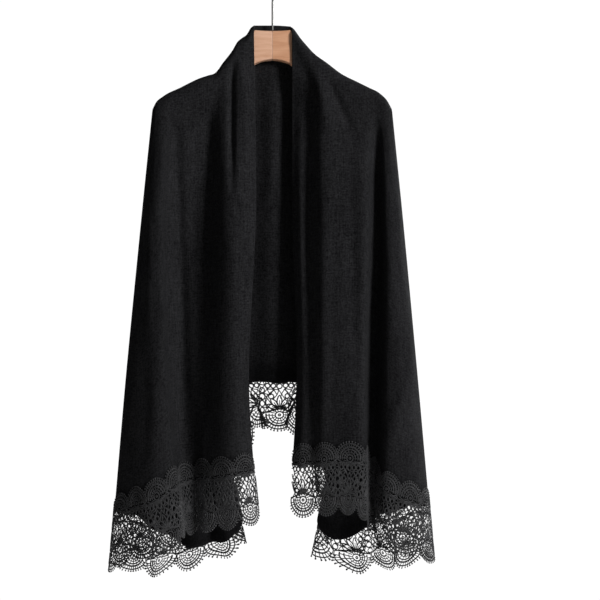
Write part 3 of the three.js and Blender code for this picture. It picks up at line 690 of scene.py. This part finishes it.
def pattern():
    """One repeat: scallops on both edges, a spray of five leaves with scrolls beside it, rings between
    the repeats, a row of eyes under the cloth's edge, and the net that joins them."""
    cords = []
    scallop(cords, LOW_CENTRE, -1)
    scallop(cords, HIGH_CENTRE, 1)
    root = np.array([MID, LOW_CENTRE + 10.5])
    for tilt, length in ((-64, 17), (-32, 21), (0, 23), (32, 21), (64, 17)):
        way = np.array([np.sin(radians(tilt)), np.cos(radians(tilt))])
        cords.append(Cord(leaf(*(root + (3.5 + length / 2) * way), length, 7.6, tilt), FULL))
        cords.append(Cord(bar(root, root + (length * 0.75) * way), THIN))
    for sign in (-1, 1):
        scroll = [(8, -3), (14, 3), (20, 9), (21.5, 18), (18, 26), (12, 33), (7, 38)]
        cords.append(Cord(np.array([(MID + sign * du, root[1] + dv) for du, dv in scroll]), FULL))
        cords.append(Cord(arc(MID + sign * 12.5, root[1] + 24.5, 4.0, 4.6, 0, 360, 11), FULL))
    eyes = [(0.0, LOW_CENTRE + 9, 4.4), (0.0, LOW_CENTRE + 21, 5.2), (0.0, LOW_CENTRE + 34, 5.4),
            (0.0, LOW_CENTRE + 46, 4.6), (0.0, HIGH_CENTRE + 3, 4.0), (MID, -8.0, 4.2)]
    eyes += [(MID + du, -7.0, 3.9) for du in (-18, -9.4, 9.4, 18)]
    for eye_u, eye_v, radius in eyes:
        cords.append(Cord(arc(eye_u, eye_v, radius * 0.95, radius * 1.1, 0, 360, 11), FULL))
    across = np.linspace(0, REPEAT, 13)
    cords.append(Cord(np.stack([across, np.full(13, 0.5)], axis=1), FULL))
    for sign, centre_v in ((-1, LOW_CENTRE), (1, HIGH_CENTRE)):
        share = np.linspace(-1, 1, 11)
        brow = np.stack([MID + RIM * share, centre_v - sign * brow_height(share)], axis=1)
        cords.append(Cord(brow, FULL))
        for turn in np.radians(np.linspace(-60, 60, 6)):
            start = (MID + 8 * np.sin(turn), centre_v - sign * 8 * np.cos(turn))
            end = (MID + 21 * np.sin(turn), centre_v - sign * brow_height(0.8 * np.sin(turn)))
            cords.append(Cord(bar(start, end), THIN))
    keep_out = [(MID, LOW_CENTRE, 28.0, -200, LOW_CENTRE + 4),
                (MID, HIGH_CENTRE, 28.0, HIGH_CENTRE - 4, 200)]
    discs = [(MID, LOW_CENTRE, 10.0), (MID, HIGH_CENTRE, 10.0), (MID, root[1] + 12, 12.0)]
    discs += [(MID + side * 12.5, root[1] + 24.5, 5.0) for side in (-1, 1)]
    keep_out += [(*disc, -200, 200) for disc in discs + eyes]
    net(cords, np.array(keep_out))
    return cords


PATTERN = pattern()
LACE_LIFT = 1.7  # middle of the lace's cords above the cloth's face
CORD_RISE = 0.3  # half a cord's height for its width


def hem_places(start, stop, fine=1200):
    """Place a for each share of the real length of the hem between two places."""
    a = np.linspace(start, stop, fine)
    points = shawl(a, hem_z(a), fine=False)
    length = np.concatenate([[0], np.cumsum(np.linalg.norm(np.diff(points, axis=0), axis=1))])
    return lambda share: np.interp(share, length / length[-1], a)


def lace_stretch(name, start, stop, repeats, replaces):
    """The pattern's cords laid on the sheet: above the hem straight up the cloth, below it in the
    hanging direction, lifted off the cloth along its normal. A cord's section is a flat diamond."""
    place = hem_places(start, stop)
    uv_all = np.concatenate([c.points for c in PATTERN])
    share = (np.arange(repeats)[:, None] + uv_all[None, :, 0] / REPEAT) / repeats
    a = place(np.clip(share, 0, 1))
    v = uv_all[None, :, 1] + LACE_FREE - free_at(a)
    sine, cosine = hang(a)
    aa = a - v * sine
    zz = hem_z(a) + v * cosine
    centre = shawl(aa, zz)
    normal = outward(aa, zz)
    centre = centre + normal * LACE_LIFT
    points, faces, uvs, used, first = [], [], [], 0, 0
    for cord in PATTERN:
        n = len(cord.points)
        c = centre[:, first:first + n]
        m = normal[:, first:first + n]
        first += n
        closed = np.allclose(cord.points[0], cord.points[-1])
        tangent = np.gradient(c, axis=1)
        if closed:
            ends = c[:, 1] - c[:, -2]
            tangent[:, 0] = ends
            tangent[:, -1] = ends
        tangent /= np.maximum(np.linalg.norm(tangent, axis=-1, keepdims=True), 1e-9)
        side = np.cross(m, tangent)
        side /= np.maximum(np.linalg.norm(side, axis=-1, keepdims=True), 1e-9)
        up = np.cross(tangent, side)
        half = cord.width / 2
        rise = cord.width * CORD_RISE
        ring = np.stack([c + side * half, c + up * rise, c - side * half, c - up * rise], axis=2)
        points.append(ring.reshape(-1, 3))
        step = np.linalg.norm(np.diff(c, axis=1), axis=-1)
        run = np.concatenate([np.zeros((repeats, 1)), np.cumsum(step, axis=1)], axis=1)
        around = np.array([0, 1, 2, 3.0])
        uvs.append(np.stack(np.broadcast_arrays(run[..., None] * MM, around), axis=-1).reshape(-1, 2))
        base = used + (np.arange(repeats)[:, None, None] * n + np.arange(n - 1)[None, :, None]) * 4
        k = np.arange(4)[None, None, :]
        k2 = (k + 1) % 4
        quads = np.stack([base + k, base + k2, base + 4 + k2, base + 4 + k], axis=-1).reshape(-1, 4)
        faces.append(quads)
        if not closed:
            starts = used + np.arange(repeats)[:, None] * n * 4
            lasts = starts + (n - 1) * 4
            faces.append(starts + np.array([3, 2, 1, 0])[None, :])
            faces.append(lasts + np.array([0, 1, 2, 3])[None, :])
        used += repeats * n * 4
    faces = np.concatenate(faces).tolist()
    return new_piece(name, np.concatenate(points), faces, GUIPURE, replaces, uv=np.concatenate(uvs))


def wood_top(x):
    """Upper edge of the arm: nearly level at the middle, a shoulder, then just under the cloth."""
    out = np.abs(x)
    bridge = WOOD_BRIDGE * np.exp(-((out - 100) / 28) ** 2)
    slope = (ridge_z(x + 1.0) - ridge_z(x - 1.0)) / 2
    under = ridge_z(x) - (2 + WOOD_REST) * np.hypot(1, slope) - bridge
    middle = WOOD_TOP + WOOD_RISE * (np.minimum(out, WOOD_MIDDLE) / WOOD_MIDDLE) ** 2
    fall = WOOD_SHOULDER * np.clip(out - WOOD_MIDDLE, 0, WOOD_SHOULDER_END)
    return np.where(out < WOOD_MIDDLE, middle, np.minimum(under, middle - fall))


def wood_tall(x):
    out = np.abs(x)
    block = mix(54.0, 64.0, (out / 34) ** 2)
    return np.where(out < 34, block, through([34, 80, 120, 213], [64, 40, 28, 20], out))


def arm(name, sign, material, replaces):
    """A wooden arm: rounded sections from the mitre to the tip. A section is a half ellipse above, a
    flatter one below, and straight between, and the tip shrinks to a round end. Under the cloth the arm
    is slimmer by WOOD_SLIM and lower by WOOD_SINK, to stay clear of it."""
    to_tip = 188 + 26.5 * np.sin(np.linspace(0.05, pi / 2, 18))
    out = np.concatenate([[SEAM / 2], np.linspace(0.8, 188, 90), to_tip])
    x = sign * out
    tip = np.clip((out - 190) / 28, 0, 1)
    slim = np.sqrt(1 - tip * tip)
    under = ease01(out, 40, 62)
    half = (arm_half(x) - WOOD_SLIM * under) * slim
    top = wood_top(x) - 2 * tip - WOOD_SINK * under
    bottom = top - wood_tall(x) * mix(0.55, 1, slim)
    sides = 56
    turn = 2 * pi * (np.arange(sides) + 0.5) / sides
    c, s = np.cos(turn)[None, :], np.sin(turn)[None, :]
    power = 0.55
    c, s = np.sign(c) * np.abs(c) ** power, np.sign(s) * np.abs(s) ** power
    round_ = np.minimum(0.75 * half, (top - bottom) / 2)[:, None]
    low = 0.6 * round_
    z = np.where(s > 0, top[:, None] - round_ + round_ * s, bottom[:, None] + low + low * s)
    y = arm_y(x)[:, None] + sign * half[:, None] * c
    rings = np.stack(np.broadcast_arrays(x[:, None], y, z), axis=-1)
    return new_piece(name, rings.reshape(-1, 3), tube_faces(len(out), sides), material, replaces)


def hook(name, replaces):
    """The wire hook: a straight stem, a short double bend, then most of a circle to a round end."""
    middle = WIRE_RADIUS - WIRE_BEND
    stem = np.stack([np.zeros(20), np.linspace(WOOD_TOP + SEAM, -54, 20)], axis=1)[:-1]
    start = -1.05
    bend_end = np.array([WIRE_BEND * np.cos(start), middle + WIRE_BEND * np.sin(start)])
    corners = np.array([[0, -54], [0, -46], bend_end - [7, 4], bend_end])
    t = np.linspace(0, 1, 24)[:-1, None]
    curve = ((1 - t) ** 3 * corners[0] + 3 * (1 - t) ** 2 * t * corners[1]
             + 3 * (1 - t) * t ** 2 * corners[2] + t ** 3 * corners[3])
    turn = np.linspace(start, 3.5, 90)
    ring_path = np.stack([WIRE_BEND * np.cos(turn), middle + WIRE_BEND * np.sin(turn)], axis=1)
    path = np.concatenate([stem, curve, ring_path])
    way = np.gradient(path, axis=0)
    way /= np.linalg.norm(way, axis=1, keepdims=True)
    ends = 8
    grow = np.ones(len(path))
    closing = np.linspace(0, pi / 2 * 0.97, ends)
    last = path[-1] + way[-1] * (WIRE_RADIUS * np.sin(closing))[:, None]
    path = np.concatenate([path, last[1:]])
    way = np.concatenate([way, np.repeat(way[-1:], ends - 1, axis=0)])
    grow = np.concatenate([grow, np.cos(closing)[1:]])
    sides = 24
    turn = 2 * pi * np.arange(sides) / sides
    off = WIRE_RADIUS * grow[:, None] * np.cos(turn)[None, :]
    x = path[:, :1] + off * way[:, 1:]
    z = path[:, 1:] - off * way[:, :1]
    y = WIRE_RADIUS * grow[:, None] * np.sin(turn)[None, :]
    points = np.stack([x, y, z], axis=-1).reshape(-1, 3)
    return new_piece(name, points, tube_faces(len(path), sides), WIRE, replaces)


left_side, right_side, far_end = ALONG[LEFT_SIDE], ALONG[RIGHT_SIDE], ALONG[-1]
front_left = cloth_stretch("shawl_front_left_knit", 0.0, left_side, 150, 200, ["shawl_front_left"])
back = cloth_stretch("shawl_back_knit", left_side, right_side, 280, 170, ["shawl_back"])
front_right = cloth_stretch("shawl_front_right_knit", right_side, far_end, 150, 200, ["shawl_front_right"])
lace_left = lace_stretch("lace_front_left_cords", 0.0, left_side, FRONT_REPEATS, ["lace_front_left"])
lace_back = lace_stretch("lace_back_cords", left_side, right_side, BACK_REPEATS, ["lace_back"])
lace_right = lace_stretch("lace_front_right_cords", right_side, far_end, FRONT_REPEATS, ["lace_front_right"])
arm("hanger_arm_left_wood", -1, WOOD_LEFT_PAINTED_LIGHT, ["hanger_arm_left"])
arm("hanger_arm_right_wood", 1, WOOD_RIGHT_PAINTED_SHADE, ["hanger_arm_right"])
hook("hanger_hook_wire", ["hanger_hook"])


def stage():
    """A pale floor well below the shawl, a white surround, and soft studio lights."""
    floor = bpy.data.meshes.new("floor")
    half, height = 1.5, -1.62
    corners = [(-half, -half, height), (half, -half, height), (half, half, height), (-half, half, height)]
    floor.from_pydata(corners, [], [(0, 1, 2, 3)])
    obj = bpy.data.objects.new("floor", floor)
    bpy.context.collection.objects.link(obj)
    pale = Finish("pale floor", Roughness=0.9, Base_Color=(0.86, 0.86, 0.85, 1))
    floor.materials.append(pale.material)
    world = bpy.data.worlds.new("studio")
    bpy.context.scene.world = world
    world.use_nodes = True
    tree = world.node_tree
    background = next(n for n in tree.nodes if n.type == "BACKGROUND")
    background.inputs["Color"].default_value = (1, 1, 1, 1)
    path = tree.nodes.new("ShaderNodeLightPath")
    seen = Socket(tree, path.outputs["Is Camera Ray"])
    tree.links.new((seen * 0.94 + 0.1).link, background.inputs["Strength"])
    for name, place, size, power in (
        ("key", (2.2, -1.85, 0.4), 0.8, 100.0),
        ("fill", (-1.9, -2.3, -0.2), 1.6, 2.0),
        ("top", (0.1, -0.3, 1.8), 1.2, 2.0),
        ("rear", (1.9, 2.1, 0.4), 0.8, 90.0),
    ):
        light = bpy.data.lights.new(name, "AREA")
        light.size = size
        light.energy = power
        lamp = bpy.data.objects.new(name, light)
        bpy.context.collection.objects.link(lamp)
        lamp.location = place
        towards = Vector((0, 0, -0.55)) - Vector(place)
        lamp.rotation_euler = towards.to_track_quat("-Z", "Y").to_euler()


# The photograph's frame: 600 pixels of 1.85 mm each at the hanger, the stem at pixel 272.5 across,
# and the height MARK_Z at pixel 34 down
PIXEL = 1.85
HOOK_PX, MARK_PX, FRAME_PX = 272.5, 34, 600
MARK_Z = -112.0
CAMERA_AWAY = 2.6


def camera():
    lens = bpy.data.cameras.new("camera")
    cam = bpy.data.objects.new("camera", lens)
    bpy.context.collection.objects.link(cam)
    centre_x = (FRAME_PX / 2 - HOOK_PX) * PIXEL * MM
    centre_z = (MARK_Z - (FRAME_PX / 2 - MARK_PX) * PIXEL) * MM
    cam.location = (centre_x, -CAMERA_AWAY, centre_z)
    cam.rotation_euler = (pi / 2, 0, 0)
    lens.sensor_width = 36.0
    lens.lens = 36.0 * CAMERA_AWAY / (FRAME_PX * PIXEL * MM)
    bpy.context.scene.camera = cam


stage()
camera()
bpy.context.scene.view_settings.view_transform = "Standard"
